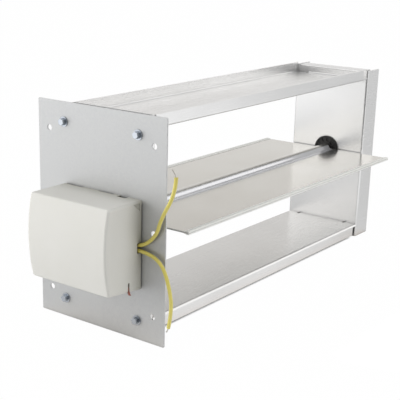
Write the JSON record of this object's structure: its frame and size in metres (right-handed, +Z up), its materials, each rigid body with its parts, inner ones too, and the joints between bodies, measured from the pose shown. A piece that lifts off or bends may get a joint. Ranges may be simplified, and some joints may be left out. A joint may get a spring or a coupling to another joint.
{
  "type": "rectangular damper",
  "caption": "Rectangular slip-in air damper with a motor-driven pivoting blade in an open channel frame, carried on a screw-on side plate.",
  "frame": {"origin": "centre of the mounting plate's duct-side face, on the blade axis", "axes": "+X along the blade axis away from the plate into the duct, +Z up, Y along the air flow"},
  "size_m": [0.4983, 0.1768, 0.2096],
  "materials": {
    "galvanised": "satin",
    "channel_metal": "satin",
    "blade_metal": "satin",
    "zinc": "satin",
    "shaft_steel": "satin",
    "bearing_black": "matte",
    "seal_grey": "matte",
    "base_steel": "satin",
    "motor_steel": "satin",
    "gear_nylon": "matte",
    "pinion_brass": "satin",
    "spring_steel": "satin",
    "lever_red": "satin",
    "block_plastic": "matte",
    "cover_beige": "matte",
    "lead_yellow": "satin",
    "strand_copper": "satin"
  },
  "bodies": {
    "frame": {"mounting_plate": "galvanised", "near_channel": "channel_metal", "end_channel": "channel_metal", "top_channel": "channel_metal", "bottom_channel": "channel_metal", "plate_screws": "zinc", "base_screws": "zinc", "gear_plate_screws": "zinc", "motor_screws": "zinc", "first_axle": "shaft_steel", "gear_posts": "shaft_steel", "spring_post": "shaft_steel", "travel_stops": "shaft_steel", "near_bearing": "bearing_black", "end_bearing": "bearing_black", "actuator_base": "base_steel", "gear_plate": "base_steel", "motor_can": "motor_steel", "return_spring": "spring_steel", "terminal_block": "block_plastic", "actuator_cover": "cover_beige", "upper_lead": "lead_yellow", "lower_lead": "lead_yellow", "upper_lead_core": "strand_copper", "lower_lead_core": "strand_copper"},
    "blade_assembly": {"blade": "blade_metal", "front_edge_seal": "seal_grey", "rear_edge_seal": "seal_grey", "drive_shaft": "shaft_steel", "pivot_pin": "shaft_steel", "shaft_screws": "zinc", "output_gear": "gear_nylon", "hub_screw": "zinc"},
    "wheel": {"first_gear": "gear_nylon"},
    "pinion": {"motor_pinion": "pinion_brass"},
    "lever": {"release_lever": "lever_red"}
  },
  "joints": [
    {"name": "blade_hinge", "type": "hinge", "parent": "frame", "child": "blade_assembly", "pos_m": [0, 0, 0], "axis": [1, 0, 0], "range_deg": [0, 90]},
    {"name": "wheel_spin", "type": "hinge", "parent": "frame", "child": "wheel", "pos_m": [-0.015, -0.022, -0.01386], "axis": [1, 0, 0], "range_deg": [-300, 0]},
    {"name": "pinion_spin", "type": "hinge", "parent": "frame", "child": "pinion", "pos_m": [-0.015, -0.00151, -0.02636], "axis": [1, 0, 0], "range_deg": [0, 900]},
    {"name": "lever_swing", "type": "hinge", "parent": "frame", "child": "lever", "pos_m": [-0.019, -0.038, -0.0425], "axis": [1, 0, 0], "range_deg": [-6, 10]}
  ],
  "couplings": [
    {"joint": "wheel_spin", "follows": "blade_hinge", "ratio": -3.3333},
    {"joint": "pinion_spin", "follows": "blade_hinge", "ratio": 10}
  ]
}
